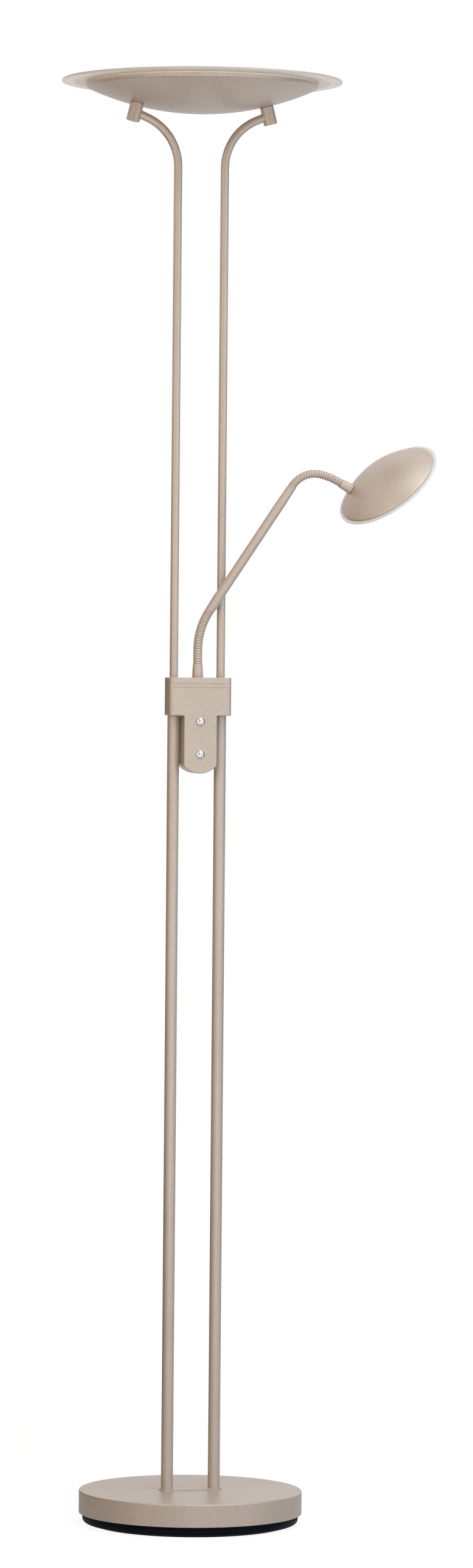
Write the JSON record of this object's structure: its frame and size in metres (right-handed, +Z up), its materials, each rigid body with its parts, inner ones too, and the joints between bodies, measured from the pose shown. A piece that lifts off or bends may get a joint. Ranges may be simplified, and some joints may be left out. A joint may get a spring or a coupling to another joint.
{
  "type": "floor lamp",
  "caption": "Twin-post floor lamp with a frosted-glass uplight dish, a gooseneck reading light, a push-button dimmer housing and a weighted disc base.",
  "frame": {"origin": "centre of the base's underside, on the floor", "axes": "+Z up; +X to the lamp's right, towards the reading light; -Y to the front, where the push buttons are"},
  "size_m": [0.4507, 0.35, 1.8],
  "materials": {
    "champagne_coat": "satin champagne powder coat with a fine grain",
    "frosted_glass": "satin frosted glass with a polished edge",
    "opal_acrylic": "opal white diffuser",
    "chrome": "polished",
    "black_plastic": "moulded black",
    "felt": "dense felt",
    "cast_iron": "as cast",
    "rubber": "moulded",
    "zinc_steel": "zinc plated",
    "circuit_board": "solder mask",
    "led_board": "white solder mask on aluminium",
    "white_plastic": "moulded white",
    "aluminium": "mill finish"
  },
  "bodies": {
    "stand": {"arm_base_ferrule": "champagne_coat", "base_cover": "champagne_coat", "base_nuts": "zinc_steel", "base_pad": "felt", "base_tray": "black_plastic", "base_washers": "zinc_steel", "base_weight": "cast_iron", "board_screws": "zinc_steel", "bridge_plate": "zinc_steel", "button_bezels": "champagne_coat", "cable_grommet": "rubber", "dimmer_board": "circuit_board", "dimmer_module": "black_plastic", "ferrule_nut": "zinc_steel", "foot_plate": "champagne_coat", "housing_back": "champagne_coat", "housing_front": "champagne_coat", "housing_screws": "zinc_steel", "left_lower_post": "champagne_coat", "left_support": "champagne_coat", "left_upper_post": "champagne_coat", "lower_hose_root": "champagne_coat", "post_grub_screws": "zinc_steel", "post_reducers": "zinc_steel", "post_studs": "zinc_steel", "push_switches": "black_plastic", "right_lower_post": "champagne_coat", "right_support": "champagne_coat", "right_upper_post": "champagne_coat", "support_nuts": "zinc_steel", "support_screws": "zinc_steel", "tray_screws": "zinc_steel", "uplight_carrier_ring": "white_plastic", "uplight_dish": "champagne_coat", "uplight_driver": "black_plastic", "uplight_glass": "frosted_glass", "uplight_heat_plate": "aluminium", "uplight_led_board": "led_board"},
    "lower_neck": {"lower_hose_tip": "champagne_coat"},
    "arm": {"arm_sleeve": "champagne_coat", "arm_rod": "champagne_coat", "upper_hose_root": "champagne_coat"},
    "upper_neck": {"upper_hose_tip": "champagne_coat"},
    "head": {"head_ferrule": "champagne_coat", "head_nut": "zinc_steel", "reading_shade": "champagne_coat", "reading_carrier_ring": "white_plastic", "reading_heat_plate": "aluminium", "reading_led_board": "led_board", "reading_glass": "opal_acrylic"},
    "upper_button": {"upper_button": "chrome"},
    "lower_button": {"lower_button": "chrome"}
  },
  "joints": [
    {"name": "lower_neck_bend", "type": "hinge", "parent": "stand", "child": "lower_neck", "pos_m": [0, -0.002, 1.08941], "axis": [0.4695, 0.8829, 0], "range_deg": [-20, 50], "deforming": ["lower_hose_root"]},
    {"name": "lower_neck_sway", "type": "hinge", "parent": "lower_neck", "child": "arm", "pos_m": [0.00587, -0.00512, 1.12335], "axis": [0.8155, -0.4336, -0.3833], "range_deg": [0, 45], "deforming": ["lower_hose_tip"]},
    {"name": "upper_neck_bend", "type": "hinge", "parent": "arm", "child": "upper_neck", "pos_m": [0.11776, -0.0624, 1.30567], "axis": [0.0996, 0.9641, 0.246], "range_deg": [-50, 15], "deforming": ["upper_hose_root"]},
    {"name": "upper_neck_sway", "type": "hinge", "parent": "upper_neck", "child": "head", "pos_m": [0.15035, -0.0657, 1.30538], "axis": [-0.3252, 0.2652, -0.9077], "range_deg": [-40, 40], "deforming": ["upper_hose_tip"]},
    {"name": "upper_button_press", "type": "slide", "parent": "stand", "child": "upper_button", "axis": [0, 1, 0], "range_m": [0, 0.0015], "stiffness_N_per_m": 900, "springref_m": -0.0005},
    {"name": "lower_button_press", "type": "slide", "parent": "stand", "child": "lower_button", "axis": [0, 1, 0], "range_m": [0, 0.0015], "stiffness_N_per_m": 900, "springref_m": -0.0005}
  ]
}
